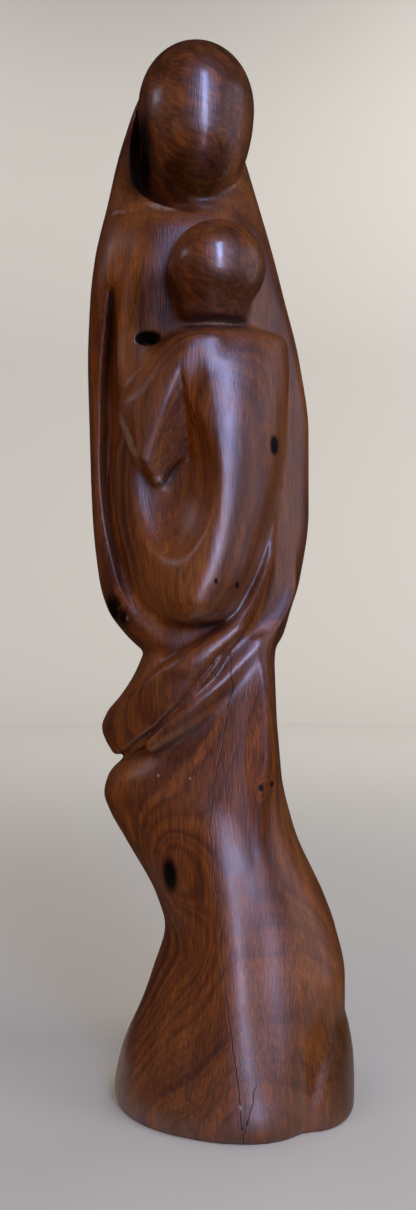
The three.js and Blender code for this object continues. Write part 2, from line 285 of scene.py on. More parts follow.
@dataclass(frozen=True)
class Sweep(Form):
    """A winding form whose crest runs through its stations.

    Each row is a place on the crest, then half the width, half the depth and the way the
    crest faces in degrees: 0 to the front, -90 to the left, 90 to the right.
    """

    rows: Rows
    squareness: float = 2.0
    spacing: float = 2.2
    fewest: int = 24
    thinnest: float = 0.4
    reach: float = 12.0
    far: float = 30.0
    part_length: int = 12

    def stations(self) -> np.ndarray:
        """Follows the centre line in close steps.

        Returns:
            Rows of a place, half the width, half the depth and the facing.
        """
        rows = np.array(self.rows, float)
        rows[:, :3] -= facing(rows[:, 5]) * rows[:, 4:5]
        length = np.linalg.norm(np.diff(rows[:, :3], axis=0), axis=1).sum()
        count = max(self.fewest, int(length / self.spacing))
        fine = catmull(rows, np.linspace(0, 1, count))
        fine[:, 3:5] = np.maximum(fine[:, 3:5], self.thinnest)
        return fine

    def box(self) -> Corners:
        """Lowest and highest corner of the form."""
        fine = self.stations()
        reach = fine[:, 3:5].max()
        return fine[:, :3].min(axis=0) - reach, fine[:, :3].max(axis=0) + reach

    def distance(self, grid: Grid, step: float) -> np.ndarray:
        """Distance of a grid's points from the form, below zero inside it.

        Args:
            grid: the points' X, Y and Z.
            step: the grid's spacing, which this form doesn't need.

        Returns:
            The distances on the same grid.
        """
        x, y, z = grid
        fine = self.stations().astype(np.float32)
        along = np.gradient(fine[:, :3], axis=0)
        along /= np.linalg.norm(along, axis=1, keepdims=True)
        outward = facing(fine[:, 5])
        outward -= (outward * along).sum(axis=1, keepdims=True) * along
        outward /= np.linalg.norm(outward, axis=1, keepdims=True)
        turns = np.stack([along, outward, np.cross(along, outward)], axis=1).astype(np.float32)
        axes = (x[:, 0, 0], y[0, :, 0], z[0, 0, :])
        distance = np.full(x.shape, self.far, np.float32)
        for first in range(0, len(fine) - 1, self.part_length):
            part = slice(first, first + self.part_length + 1)
            margin = fine[part, 3:5].max() + self.reach
            low = fine[part, :3].min(axis=0) - margin
            high = fine[part, :3].max(axis=0) + margin
            near = tuple(
                slice(*np.searchsorted(axis, ends)) for axis, ends in zip(axes, zip(low, high))
            )
            if distance[near].size:
                points = np.stack([x[near], y[near], z[near]], axis=-1).reshape(-1, 3)
                found = self.distance_of(points, fine[part], turns[part])
                distance[near] = np.minimum(distance[near], found.reshape(distance[near].shape))
        return distance

    def distance_of(self, points: np.ndarray, fine: np.ndarray, axes: np.ndarray) -> np.ndarray:
        """Distance of single points, each measured from the nearest place on the centre line.

        Args:
            points: the points, one a row.
            fine: the close stations of the centre line.
            axes: the directions along, outward and aside at each station.

        Returns:
            One distance for each point.
        """
        centres = fine[:, :3]
        nearest = ((centres**2).sum(axis=1) - 2 * points @ centres.T).argmin(axis=1)
        offset = points - centres[nearest]
        ahead = np.sign((offset * axes[nearest, 0]).sum(axis=1)).astype(int)
        neighbour = np.clip(nearest + ahead, 0, len(centres) - 1)
        leg = centres[neighbour] - centres[nearest]
        share = (offset * leg).sum(axis=1) / np.maximum((leg * leg).sum(axis=1), TINY)
        share = np.clip(share, 0, 0.5)[:, None]
        station = fine[nearest] * (1 - share) + fine[neighbour] * share
        turned = axes[nearest] * (1 - share[..., None]) + axes[neighbour] * share[..., None]
        offset = points - station[:, :3]
        lengthwise, outward, aside = ((offset * turned[:, i]).sum(axis=1) for i in range(3))
        half_width, half_depth = station[:, 3], station[:, 4]
        thin = np.minimum(half_width, half_depth)
        power = self.squareness
        section = (
            np.abs(aside / half_width) ** power + np.abs(outward / half_depth) ** power
        ) ** (2 / power)
        ratio = np.sqrt(section + (lengthwise / thin) ** 2)
        reach = np.linalg.norm(offset, axis=1)
        least = self.least_slope
        return np.where(ratio > least, reach - reach / np.maximum(ratio, least), -thin)


@dataclass(frozen=True)
class Slope:
    """A sloping plane through a point: how much further back it lies per X and per Z."""

    at: Point
    per_x: float
    per_z: float

    def behind(self, grid: Grid) -> np.ndarray:
        """How far the points of a grid lie behind the plane.

        Args:
            grid: the points' X, Y and Z.

        Returns:
            The distances on the same grid.
        """
        x, y, z = grid
        level = self.at[1] + self.per_x * (x - self.at[0]) + self.per_z * (z - self.at[2])
        return (y - level) / math.sqrt(1 + self.per_x**2 + self.per_z**2)


@dataclass(frozen=True)
class FlatCut(Form):
    """A notch open to the front, with corners as X and Z and sloping planes for its floor."""

    corners: Line
    floor: tuple[Slope, ...]
    front: float = -75.0

    def box(self) -> Corners:
        """Lowest and highest corner of the form."""
        corners = np.array(self.corners)
        low, high = corners.min(axis=0), corners.max(axis=0)
        return np.array([low[0], self.front, low[1]]), np.array([high[0], 0, high[1]])

    def distance(self, grid: Grid, step: float) -> np.ndarray:
        """Distance of a grid's points from the notch, below zero inside it.

        Args:
            grid: the points' X, Y and Z.
            step: the grid's spacing, which this form doesn't need.

        Returns:
            The distances on the same grid.
        """
        x, _, z = grid
        distance = np.maximum.reduce([slope.behind(grid) for slope in self.floor])
        for start, end in zip(self.corners, self.corners[1:] + self.corners[:1]):
            run, rise = end[0] - start[0], end[1] - start[1]
            aside = ((x - start[0]) * rise - (z - start[1]) * run) / math.hypot(run, rise)
            distance = np.maximum(distance, aside)
        return distance


@dataclass
class Block:
    """The block of wood: a grid of distances from the carved surface, below zero inside."""

    step: float
    low: Point = (-74.0, -68.0, -6.0)
    high: Point = (74.0, 58.0, 504.0)
    reach: float = 10.0
    far: float = 9.0
    crease_margin: float = 4.0
    crease_fade: float = 6.0
    slope_reach: float = 0.75
    axes: list[np.ndarray] = field(init=False)
    depth: np.ndarray = field(init=False)

    def __post_init__(self) -> None:
        """Lays out the empty grid."""
        self.axes = [
            np.arange(low, high + self.step, self.step, dtype=np.float32)
            for low, high in zip(self.low, self.high)
        ]
        self.depth = np.full([len(axis) for axis in self.axes], self.far, np.float32)

    def window(self, corners: Corners, margin: float) -> tuple[slice, ...]:
        """The part of the grid that a box covers.

        Args:
            corners: the box's lowest and highest corner.
            margin: how far the part reaches past the box.

        Returns:
            A slice of each axis.
        """
        slices = []
        for axis, start, end in zip(self.axes, *corners):
            first = int((start - margin - axis[0]) / self.step)
            last = int((end + margin - axis[0]) / self.step) + 2
            slices.append(slice(max(0, first), min(len(axis), last)))
        return tuple(slices)

    def grid(self, window: tuple[slice, ...]) -> Grid:
        """X, Y and Z of the grid's points in a window."""
        picked = [axis[part] for axis, part in zip(self.axes, window)]
        return np.meshgrid(*picked, indexing="ij")

    def carve(self, form: Form, join: Join, fillet: float = 0.0) -> None:
        """Adds a form to the wood or cuts it away.

        Args:
            form: the form.
            join: whether it is added or cut.
            fillet: how wide the meeting line is rounded.
        """
        window = self.window(form.box(), self.reach + fillet)
        distance = form.distance(self.grid(window), self.step).astype(np.float32)
        sign = 1 if join is Join.ADD else -1
        self.depth[window] = sign * blend(sign * self.depth[window], distance, fillet)

    def crease(self, line: Line, depth: float, width: float) -> None:
        """Presses a crease into the front along a line, fading in at its start.

        Args:
            line: points of the line as X and Z.
            depth: how deep the crease is.
            width: half its width.
        """
        points = np.array(line)
        low, high = points.min(axis=0), points.max(axis=0)
        corners = np.array([low[0], self.low[1], low[1]]), np.array([high[0], 0, high[1]])
        window = self.window(corners, self.crease_margin * width)
        x, _, z = self.grid(window)
        distance, travelled = line_distance(points, x[:, 0], z[:, 0])
        fade = np.clip(travelled / (self.crease_fade * width), 0, 1)
        pressed = depth * fade / (1 + (distance / width) ** 2) ** 2
        self.depth[window] += pressed[:, None, :].astype(np.float32)

    def sample(self, points: np.ndarray) -> np.ndarray:
        """Distances at any points, read between the grid's own.

        Args:
            points: the points, one a row.

        Returns:
            One distance for each point.
        """
        origin = np.array([axis[0] for axis in self.axes])
        place = (points - origin) / self.step
        limit = np.array(self.depth.shape) - 2
        cell = np.clip(place.astype(int), 0, limit)
        share = np.clip(place - cell, 0, 1)
        total = np.zeros(len(points))
        for corner in np.ndindex(2, 2, 2):
            weight = np.prod(np.where(corner, share, 1 - share), axis=1)
            i, j, k = (cell + corner).T
            total += weight * self.depth[i, j, k]
        return total

    def slope(self, points: np.ndarray) -> np.ndarray:
        """The direction out of the wood at any points, as long as the distance is steep.

        Args:
            points: the points, one a row.

        Returns:
            One direction for each point.
        """
        half = self.step * self.slope_reach
        shifts = np.eye(3) * half
        changes = [self.sample(points + shift) - self.sample(points - shift) for shift in shifts]
        return np.stack([change / (2 * half) for change in changes], axis=1)


def blend(a: np.ndarray, b: np.ndarray, fillet: float) -> np.ndarray:
    """The smaller of two distances, rounded where they are about equal.

    Args:
        a: one distance at each place.
        b: the other.
        fillet: how wide the rounding is.

    Returns:
        The blended distances.
    """
    if fillet <= 0:
        return np.minimum(a, b)
    share = np.clip(0.5 + 0.5 * (b - a) / fillet, 0, 1)
    return b * (1 - share) + a * share - fillet * share * (1 - share)


def line_distance(line: np.ndarray, x: np.ndarray, z: np.ndarray) -> tuple[np.ndarray, np.ndarray]:
    """Distance of points from a line of straight legs, seen from the front.

    Args:
        line: points of the line as X and Z.
        x: the points' X.
        z: the points' Z.

    Returns:
        The distances, and how far along the line each nearest place is.
    """
    distance = np.full(x.shape, np.inf)
    travelled = np.zeros(x.shape)
    walked = 0.0
    for start, end in zip(line[:-1], line[1:]):
        leg = end - start
        length = float(np.hypot(*leg))
        share = ((x - start[0]) * leg[0] + (z - start[1]) * leg[1]) / length**2
        share = np.clip(share, 0, 1)
        away = np.hypot(x - start[0] - share * leg[0], z - start[1] - share * leg[1])
        travelled = np.where(away < distance, walked + share * length, travelled)
        distance = np.minimum(distance, away)
        walked += length
    return distance, travelled


@dataclass
class SurfaceNet:
    """The carved surface as an even net of four-sided faces, pulled onto the true surface."""

    block: Block
    relax_rounds: int = 3
    pull_rounds: int = 3
    relax_share: float = 0.5
    least_steepness: float = 0.3

    def build(self) -> tuple[np.ndarray, np.ndarray]:
        """Makes the net.

        Returns:
            Its points in drawn millimetres and its faces as four point numbers each.
        """
        inside = self.block.depth < 0
        ends = [(slice(0, size - 1), slice(1, size)) for size in inside.shape]
        filled = np.zeros([size - 1 for size in inside.shape], np.int8)
        for corner in np.ndindex(2, 2, 2):
            filled += inside[tuple(pair[side] for pair, side in zip(ends, corner))]
        active = (filled > 0) & (filled < 8)
        cells = np.argwhere(active)
        numbers = np.full(active.shape, -1, np.int32)
        numbers[active] = np.arange(len(cells))
        faces = self.faces(inside, numbers)
        origin = np.array([axis[0] for axis in self.block.axes])
        points = origin + self.crossings(cells) * self.block.step
        return self.settle(points, faces), faces

    def crossings(self, cells: np.ndarray) -> np.ndarray:
        """The mean place where the surface crosses the edges of each cell.

        Args:
            cells: the cells that the surface runs through, one a row.

        Returns:
            One place for each cell, measured in cells.
        """
        total = np.zeros((len(cells), 3))
        count = np.zeros(len(cells))
        values = {}
        for corner in np.ndindex(2, 2, 2):
            i, j, k = (cells + corner).T
            values[corner] = self.block.depth[i, j, k]
        for axis in range(3):
            for low in [corner for corner in values if not corner[axis]]:
                high = tuple(1 if n == axis else low[n] for n in range(3))
                crossed = (values[low] < 0) != (values[high] < 0)
                gap = np.where(crossed, values[low] - values[high], 1)
                place = np.tile(np.array(low, float), (len(cells), 1))
                place[:, axis] += values[low] / gap
                total += place * crossed[:, None]
                count += crossed
        return cells + total / count[:, None]

    @staticmethod
    def faces(inside: np.ndarray, numbers: np.ndarray) -> np.ndarray:
        """Four-sided faces round each edge of the grid that the surface crosses.

        Args:
            inside: which of the grid's points are in the wood.
            numbers: the number of each cell's point.

        Returns:
            Four point numbers for each face.
        """
        found = []
        for axis in range(3):
            second, third = (axis + 1) % 3, (axis + 2) % 3
            low = np.take(inside, range(inside.shape[axis] - 1), axis=axis)
            high = np.take(inside, range(1, inside.shape[axis]), axis=axis)
            edges = np.argwhere(low != high)
            outward = low[tuple(edges.T)]
            corners = []
            for back_second, back_third in ((1, 1), (0, 1), (0, 0), (1, 0)):
                cell = edges.copy()
                cell[:, second] -= back_second
                cell[:, third] -= back_third
                corners.append(numbers[tuple(cell.T)])
            quads = np.stack(corners, axis=1)
            quads[~outward] = quads[~outward][:, ::-1]
            found.append(quads)
        return np.concatenate(found)

    def settle(self, points: np.ndarray, faces: np.ndarray) -> np.ndarray:
        """Evens the net out and pulls it onto the surface, in turns.

        Args:
            points: the net's points.
            faces: its faces.

        Returns:
            The moved points.
        """
        ends = np.concatenate([faces[:, [a, (a + 1) % 4]] for a in range(4)])
        start, end = np.concatenate([ends, ends[:, ::-1]]).T
        number = len(points)
        count = np.bincount(start, minlength=number)[:, None]
        points = self.pull(points)
        for _ in range(self.relax_rounds):
            sums = [np.bincount(start, axis[end], minlength=number) for axis in points.T]
            middle = np.stack(sums, axis=1) / count
            points = self.pull((1 - self.relax_share) * points + self.relax_share * middle)
        points[:, 2] = np.maximum(points[:, 2], 0)
        return points

    def pull(self, points: np.ndarray) -> np.ndarray:
        """Moves points onto the surface in a few rounds, along its own direction.

        Args:
            points: the points, one a row.

        Returns:
            The moved points.
        """
        step = self.block.step
        for _ in range(self.pull_rounds):
            slope = self.block.slope(points)
            steepness = np.maximum((slope * slope).sum(axis=1, keepdims=True), self.least_steepness)
            move = self.block.sample(points)[:, None] * slope / steepness
            points = points - np.clip(move, -step, step)
        return points


@dataclass(frozen=True)
class Drapery:
    """Skirt, train, waist folds, mantle and hood, with the hollows round the child and head."""

    skirt: Rows = (
        (0, -49, 50, -54.5, 49, 13, -2),
        (5, -50, 50.6, -56, 50, 13, -2),
        (20, -47.3, 53.7, -52.3, 50, 13, -2),
        (45, -36.8, 58.6, -47, 48, 12, -2),
        (57, -32.6, 58.6, -45, 47, 12, -2),
        (80, -26.3, 54, -41.5, 45, 12, -2),
        (94, -30.1, 49, -40, 43, 12, -1),
        (121, -45.3, 36.5, -38.5, 41, 13, 1),
        (134, -52.8, 32.5, -38, 40, 14, 2),
        (142, -55.4, 30.5, -37.8, 40, 15, 2),
        (150, -53.5, 29, -37.6, 39, 17, 2),
        (158, -47, 28.2, -37.4, 38, 19, 2),
        (166, -39, 27.5, -37, 36, 20, 2),
        (180, -32, 26.4, -35, 34, 20, 2),
        (222, -28, 25.2, -28, 28, 14, 2),
    )
    leg: Rows = (
        (4, -14, 30, -54.6, 0, 8, -24),
        (20, -13, 28, -53.3, 0, 7, -22),
        (45, -11, 24, -49.4, 0, 5.5, -20),
        (80, -10, 20, -44.2, 0, 3.5, -18),
        (100, -12, 17, -41.2, 0, 1, -17),
        (117, -14, 13, -39.1, 0, -2, -16),
        (132, -15, 9, -37, 0, -4, -15),
        (150, -12, 5, -32, 0, -5, -14),
    )
    train: Rows = (
        (0, 15, 62.9, -44, 46, 38, 2),
        (10, 18, 62.9, -43.5, 46, 40, 2),
        (20, 22, 62.6, -41, 45, 42, 2),
        (32, 28, 61, -35, 42, 45, 4),
        (45, 36, 57, -25, 36, 48, 8),
        (52, 42, 54, -14, 30, 48, 10),
    )
    hip: Rows = (
        (155, -45, 10, -10, 26, -16, 2),
        (161, -51.6, 10, -13, 29, -17, 2),
        (173, -56.5, 10, -19, 35, -18, 2),
        (180, -54, 10, -23, 37, -18, 2),
        (188, -47.6, 12, -28, 38, -16, 3),
        (198, -41.2, 14, -31, 37, -13, 3),
        (215, -34, 16, -28, 32, -8, 3),
    )
    mantle: Rows = (
        (197, -24, 24, -24, 26, -4, 3),
        (208.7, -36.5, 25.7, -30, 31, -5, 4),
        (217, -45.3, 30, -31, 33, -7, 5),
        (229, -53.8, 33.7, -30, 36, -9, 5),
        (243, -58, 38, -26, 39, -10, 6),
        (276, -61.5, 42.4, -19, 42, -10, 6),
        (313, -62.8, 42.4, -16, 43, -10, 6),
        (347, -63.6, 38, -18, 43, -11, 6),
        (377, -62.4, 30.6, -24, 41, -15, 6),
        (395, -60.3, 26, -25, 38, -17, 6),
        (424, -54, 18, -18, 34, -18, 8),
        (444, -50, 12.5, -8, 31, -18, 10),
        (460, -45.5, 8, -3, 27, -18, 11),
        (477, -39, 0, 0, 21, -19, 11),
        (486, -32, -8, 3, 17, -19, 10),
    )
    chest: Rows = (
        (286, -34, -18, -23, 10, -26, -8),
        (300, -41, 4, -28, 10, -29, -8),
        (320, -47, 10, -30, 10, -30, -8),
        (348, -49.8, 14, -30, 10, -30, -8),
        (372, -47.5, 16, -29, 10, -28, -8),
        (395, -42, 14, -27.5, 10, -24, -8),
        (415, -34, 10, -22, 10, -20, -8),
    )
    channel: Rows = (
        (-50.5, -22, 376, 0.8, 6, 0),
        (-51.3, -26, 360, 2.2, 11, 0),
        (-52.5, -29, 341, 3.4, 14, 0),
        (-53, -28, 316, 3.8, 14, 0),
        (-53, -28, 290, 3.8, 14, 0),
        (-51.2, -30, 273, 3.8, 14, 0),
        (-47.3, -34, 255, 3.8, 13, 0),
        (-43, -38, 240, 4.2, 11.5, 0),
        (-36, -41, 228, 5, 9.5, 0),
        (-24.5, -44, 220, 6.5, 9, 0),
        (-10.5, -46, 217.5, 7.5, 9.5, 0),
        (3, -45, 223, 6.5, 9, 0),
        (13, -43, 236, 4, 5, 0),
        (18, -40.5, 248, 2, 2.5, 0),
        (20, -39, 255, 1, 1, 0),
    )
    mantle_edge: Rows = (
        (24, -19, 272, 1, 3, 15),
        (23, -24, 262, 1.8, 5, 14),
        (21.8, -27.5, 252, 2.6, 6, 12),
        (18.5, -30.5, 242, 3.2, 8, 10),
        (11.5, -33, 228, 3.6, 8, 8),
        (1, -36, 217, 3.5, 8, 0),
        (-8, -38, 210, 3.5, 6, -5),
        (-15.5, -38, 205, 3, 5, -10),
        (-22, -35, 201, 1.5, 4, -15),
    )
    upper_fold: Rows = (
        (8.5, -36, 221, 2, 6, 5),
        (0, -38.5, 213.5, 4.5, 9, 0),
        (-7.5, -39, 207, 8, 10, -5),
        (-16.5, -38, 200, 10.5, 10, -12),
        (-26, -35.5, 192.5, 12, 10, -22),
        (-35, -30, 184.5, 12.5, 10, -34),
        (-43.5, -22, 177.5, 12, 9, -48),
        (-49, -12, 170.5, 10, 8, -62),
    )
    lower_fold: Rows = (
        (33, -8, 252, 2, 4, 60),
        (34, -14, 238, 4, 6, 45),
        (29, -20, 226.5, 5, 7, 32),
        (20.5, -27, 216, 5.5, 7.5, 18),
        (11, -32, 207, 6, 8, 8),
        (0.5, -35.5, 197, 7, 9, 0),
        (-12, -36.5, 187, 9, 10, -6),
        (-24, -34.5, 176.5, 8, 9, -18),
        (-33, -31, 168, 4, 5, -28),
    )
    back_fold: Rows = (
        (-52, 16, 176, 10, 8, -105),
        (-42, 31, 183, 11, 9, -135),
        (-20, 37.5, 192, 11, 8, -165),
        (2, 34, 200, 9, 6, -185),
        (18, 26, 206, 5, 4, -210),
    )
    hood_hollow: Rows = (
        (-37, -14, 474, 2, 14, 0),
        (-39.5, -18, 460, 2.6, 15, 0),
        (-40, -22, 446, 3.2, 16, 0),
        (-38, -25, 434, 4.2, 16, 0),
        (-34, -27, 426, 4.8, 14, 0),
        (-28, -29, 420, 4.2, 10, 0),
        (-21, -30, 416, 3.2, 7, 0),
        (-12, -30, 413, 2.6, 4, 0),
        (-4, -28.5, 413, 2, 3, 0),
    )
    dark_pocket: Egg = Egg((-33, -27, 351), 11.5, 20, 3, 3)
    knot_hole: Egg = Egg((-52, -16, 228), 12, 14, 8.5, 8.5)
    shoulder_crease: Line = ((-26, 411), (-31.5, 411), (-38.5, 412.3), (-44, 411.8), (-50, 413))
    fold_crease: Line = (
        (5, 214), (-1, 209), (-6, 202.5), (-12, 195), (-18.5, 187),
        (-28.5, 176), (-37, 169), (-45.5, 161), (-49, 158),
    )

    def carve(self, block: Block) -> None:
        """Carves the cloth out of the block, from the skirt up.

        Args:
            block: the block of wood.
        """
        mantle = Loft(self.mantle, bottom_cap=10, top_cap=7, squareness=2.3)
        chest = Loft(self.chest, bottom_cap=4, top_cap=14, squareness=2.4, left_squareness=3.0)
        block.carve(Loft(self.skirt, top_cap=8, squareness=2.1), Join.ADD)
        block.carve(Loft(self.leg, top_cap=20), Join.ADD, fillet=7)
        block.carve(Loft(self.train, top_cap=16), Join.ADD, fillet=2.5)
        block.carve(mantle, Join.ADD, fillet=2)
        block.carve(Sweep(self.lower_fold, squareness=1.6), Join.ADD, fillet=5)
        block.carve(chest, Join.ADD, fillet=7)
        block.carve(Sweep(self.channel, squareness=2.2), Join.CUT, fillet=6)
        block.carve(Sweep(self.back_fold, squareness=2.6), Join.ADD, fillet=4)
        block.carve(Loft(self.hip, bottom_cap=6, top_cap=6), Join.ADD, fillet=2)
        block.carve(Sweep(self.upper_fold, squareness=2.8), Join.ADD, fillet=1)
        block.carve(Sweep(self.mantle_edge, squareness=2.2), Join.ADD, fillet=7)
        block.carve(Sweep(self.hood_hollow), Join.CUT, fillet=3)

    def finish(self, block: Block) -> None:
        """Cuts what is cut last: the pocket at the child's neck, the knot hole, the creases.

        Args:
            block: the block of wood.
        """
        block.carve(self.dark_pocket, Join.CUT, fillet=0.8)
        block.carve(self.knot_hole, Join.CUT, fillet=1.5)
        block.crease(self.fold_crease, depth=2.2, width=1.4)
        block.crease(self.shoulder_crease, depth=0.7, width=1.1)


@dataclass(frozen=True)
class Child:
    """The child: body with a scooped lap, arm with a flat cut face, and a plain egg head."""

    torso: Rows = (
        (221.5, -20, -1, -39, 10, -13, -10),
        (225, -29, 6, -46, 10, -13, -10),
        (229, -33, 9.5, -49.3, 10, -12.3, -11),
        (234, -37, 12, -50.8, 10, -11.5, -11),
        (242, -40.5, 16, -51.3, 10, -8.5, -12),
        (250, -43, 19, -51.2, 10, -5.5, -12),
        (261, -46.5, 22, -51, 10, -3, -12),
        (275, -49, 25.5, -50.8, 10, -1, -12),
        (289, -50, 28, -50.4, 10, -0.8, -12),
        (302, -49, 29.8, -49.6, 10, -1.4, -13),
        (310, -45.8, 30.5, -48.9, 10, -2, -13),
        (323, -38, 31, -47.4, 10, -4, -15),
        (337, -30, 31.5, -45, 10, -6.5, -16),
        (349, -24, 31, -40.5, 10, -8, -16),
        (360, -22, 26, -32, 10, -8, -16),
    )
    scoop: Egg = Egg((-33, -56, 287), 62, 58, 46, 45)
    arm: Rows = (
        (284.5, -29.5, -26.5, -33.5, 0, -28.2, -26),
        (287, -31.5, -25, -35.2, 0, -29, -27),
        (290.5, -34, -23, -37, 0, -31, -28),
        (294.5, -37, -19.5, -38.2, 0, -34, -28),
        (298, -39.8, -15, -38.9, 0, -35.5, -28),
        (301.5, -41.8, -8, -39.6, 0, -33.5, -28),
        (308, -44.2, 0, -40.8, 0, -30.5, -28),
        (314, -46, 2, -41.8, 0, -27.5, -28),
        (321, -46.6, 5, -43, 0, -24, -27),
        (328, -43, 6, -44.2, 0, -20.8, -26),
        (337, -36.8, 8, -45.4, 0, -16, -25),
        (346, -32.3, 8, -44.5, 0, -12, -22),
        (352, -26, 6, -42, 0, -9, -20),
        (357, -18, 4, -37, 0, -8, -20),
    )
    arm_cut: FlatCut = FlatCut(
        corners=(
            (-17.3, 337), (-62, 337), (-62, 279), (-29.5, 279), (-24, 282.5), (-12, 296.5),
            (-3, 302), (3, 306), (3, 337),
        ),
        floor=(Slope((-17.8, -44.6, 334), 0.36, -0.3), Slope((-14.35, -33.5, 301), -1.9, -0.506)),
    )
    jaw: Rows = (
        (358, -17.5, 10, -38, -10, -3, -25),
        (362, -19.8, 12.5, -42.5, -10, -3, -26),
        (370, -20.8, 14.5, -46, -10, -3, -27),
        (378, -21.3, 17, -48.5, -12, -2, -29),
        (386, -20.5, 18, -50, -14, -1, -31),
    )
    head: Egg = Egg((-1, -33, 382), 41.6, 40, 20.5, 20.5)
    brow: Egg = Egg((-5.5, -35.5, 382), 33, 37, 17, 17)

    def body(self, step: float) -> Block:
        """A block that holds the child's body alone.

        Args:
            step: the grid's spacing.

        Returns:
            The block.
        """
        body = Block(step)
        torso = Loft(self.torso, bottom_cap=3, top_cap=8, squareness=2.05, left_squareness=1.45)
        arm = Loft(self.arm, bottom_cap=1, top_cap=8, squareness=3, left_squareness=1.8)
        body.carve(torso, Join.ADD)
        body.carve(self.scoop, Join.CUT, fillet=3)
        body.carve(arm, Join.ADD, fillet=2)
        body.carve(self.arm_cut, Join.CUT, fillet=0.4)
        return body

    def carve_head(self, block: Block) -> None:
        """Adds the jaw, the round head above it and its fuller front.

        Args:
            block: the block of wood.
        """
        block.carve(Loft(self.jaw, bottom_cap=2, top_cap=8), Join.ADD, fillet=2)
        block.carve(self.head, Join.ADD, fillet=3)
        block.carve(self.brow, Join.ADD, fillet=4)


@dataclass(frozen=True)
class Figure:
    """The whole carved figure as one closed piece."""

    drawing: Drawing
    drapery: Drapery
    child: Child
    head: Egg = Egg((-11.5, -10, 459.5), 54, 58, 32.5, 45, 0.07)
    head_fillet: float = 1.5
    child_fillet: float = 3.0
    step: float = 1.0
    triangles: int = 190000
    cracks: tuple[Line, ...] = (
        (
            (4, 209.5), (5, 193), (2, 180), (-3.5, 149), (-5.3, 132), (-4.1, 114), (-1.9, 101),
            (0.3, 75), (2.8, 54), (5.8, 32.5), (8, 15), (9.2, 2), (9.3, 0),
        ),
        ((14.5, 24), (13.3, 18), (11, 10.5), (9.6, 5)),
    )
    cracked_front: float = -12.0
    crack_reach: float = 20.0
    hollow_reach: float = 7.0

    def carve(self) -> Block:
        """Carves the forms in the order in which a later one lies over an earlier one.

        Returns:
            The carved block.
        """
        block = Block(self.step)
        self.drapery.carve(block)
        block.depth = blend(block.depth, self.child.body(self.step).depth, self.child_fillet)
        self.drapery.finish(block)
        self.child.carve_head(block)
        block.carve(self.head, Join.ADD, self.head_fillet)
        return block

    def build(self) -> bpy.types.Object:
        """Makes the figure's mesh in the frame.

        Returns:
            The object, which stands for the CAD node.
        """
        block = self.carve()
        piece = self.thinned(*SurfaceNet(block).build())
        mesh = piece.data
        points = np.empty(3 * len(mesh.vertices))
        mesh.vertices.foreach_get("co", points)
        points = points.reshape(-1, 3)
        mesh.vertices.foreach_set("co", self.drawing.to_frame(points).ravel())
        mesh.shade_smooth()
        patterns = {"hollow": self.hollowness(block, points), "crack": self.beside_cracks(points)}
        for name, values in patterns.items():
            attribute = mesh.attributes.new(name, "FLOAT", "POINT")
            attribute.data.foreach_set("value", values.astype(np.float32))
        LOG.info("%s: %d triangles", PIECE, len(mesh.polygons))
        return piece

    def thinned(self, points: np.ndarray, faces: np.ndarray) -> bpy.types.Object:
        """Makes a mesh, with fewer triangles where the surface is nearly flat.

        Args:
            points: the corners.
            faces: the faces of four sides.

        Returns:
            The object that holds the mesh.
        """
        mesh = bpy.data.meshes.new(PIECE)
        mesh.from_pydata(points.tolist(), [], faces.tolist())
        piece = bpy.data.objects.new(PIECE, mesh)
        bpy.context.scene.collection.objects.link(piece)
        modifier = piece.modifiers.new("thinned", "DECIMATE")
        modifier.ratio = min(1.0, self.triangles / (2 * len(faces)))
        evaluated = piece.evaluated_get(bpy.context.evaluated_depsgraph_get())
        piece.data = bpy.data.meshes.new_from_object(evaluated)
        piece.data.name = PIECE
        piece.modifiers.clear()
        bpy.data.meshes.remove(mesh)
        return piece

    def beside_cracks(self, points: np.ndarray) -> np.ndarray:
        """How far each point on the front lies to the left or right of the nearest crack.

        Args:
            points: drawn points, one a row.

        Returns:
            One distance for each point, which is large for a point at the back.
        """
        x, y, z = points.T
        nearest = np.full(len(points), np.inf)
        for crack in self.cracks:
            rising = np.array(crack, float)[::-1]
            offset = x - np.interp(z, rising[:, 1], rising[:, 0])
            past = np.maximum(rising[0, 1] - z, z - rising[-1, 1])
            offset += np.sign(offset + TINY) * np.maximum(past, 0)
            nearest = np.where(np.abs(offset) < np.abs(nearest), offset, nearest)
        nearest = np.clip(nearest, -self.crack_reach, self.crack_reach)
        return np.where(y < self.cracked_front, nearest, self.crack_reach)

    def hollowness(self, block: Block, points: np.ndarray) -> np.ndarray:
        """How deep each point lies in a hollow.

        Args:
            block: the carved block.
            points: drawn points, one a row.

        Returns:
            From 0 in the open to 1 at a closed corner, for each point.
        """
        slope = block.slope(points)
        out = slope / np.maximum(np.linalg.norm(slope, axis=1, keepdims=True), TINY)
        open_shares = [
            block.sample(points + out * reach) / reach
            for reach in (self.hollow_reach / 2, self.hollow_reach)
        ]
        return np.clip(1 - sum(open_shares) / 2, 0, 1)


def linear(colour: str) -> tuple[float, float, float, float]:
    """Turns an sRGB hex colour into linear values with full alpha.

    Args:
        colour: six hex digits.

    Returns:
        Red, green, blue and alpha.
    """
    channels = [int(colour[i : i + 2], 16) / 255 for i in (0, 2, 4)]
    red, green, blue = (
        value / 12.92 if value <= 0.04045 else ((value + 0.055) / 1.055) ** 2.4
        for value in channels
    )
    return red, green, blue, 1.0


@dataclass(frozen=True)
class Spot:
    """A soft patch on the wood, such as a knot: where it is, how large, and how it leans."""

    centre: Point
    half_size: Point
    lean: float = 0.0


